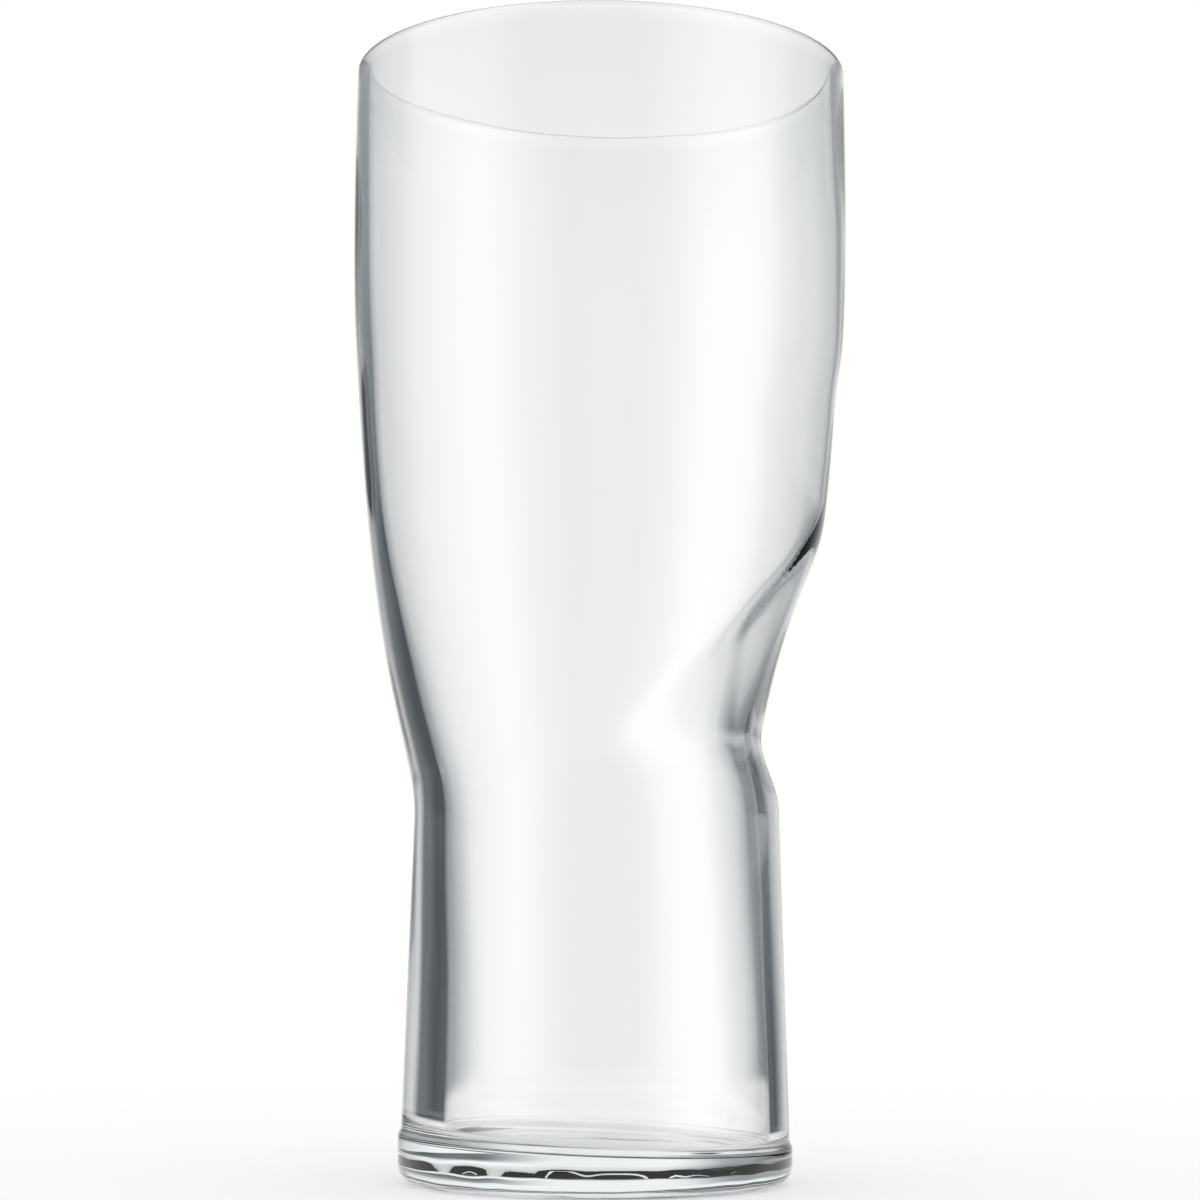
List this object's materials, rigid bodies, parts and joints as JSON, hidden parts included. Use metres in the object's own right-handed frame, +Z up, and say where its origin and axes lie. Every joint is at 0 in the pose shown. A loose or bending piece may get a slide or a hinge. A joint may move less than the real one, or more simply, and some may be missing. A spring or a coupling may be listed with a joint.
{
  "type": "soda glass",
  "caption": "Tall clear glass tumbler for cold drinks: narrow thick-walled lower body, creased waist, slanting grip hollow on one side, wide bowl and rounded rim.",
  "frame": {"origin": "centre of the ring that the glass stands on, in the plane of the table", "axes": "+Z up along the glass's axis to the rim, +X towards the side with the grip hollow"},
  "size_m": [0.0734, 0.0734, 0.1645],
  "materials": {
    "clear_glass": "polished"
  },
  "bodies": {
    "root": {"tumbler": "clear_glass"}
  },
  "joints": []
}
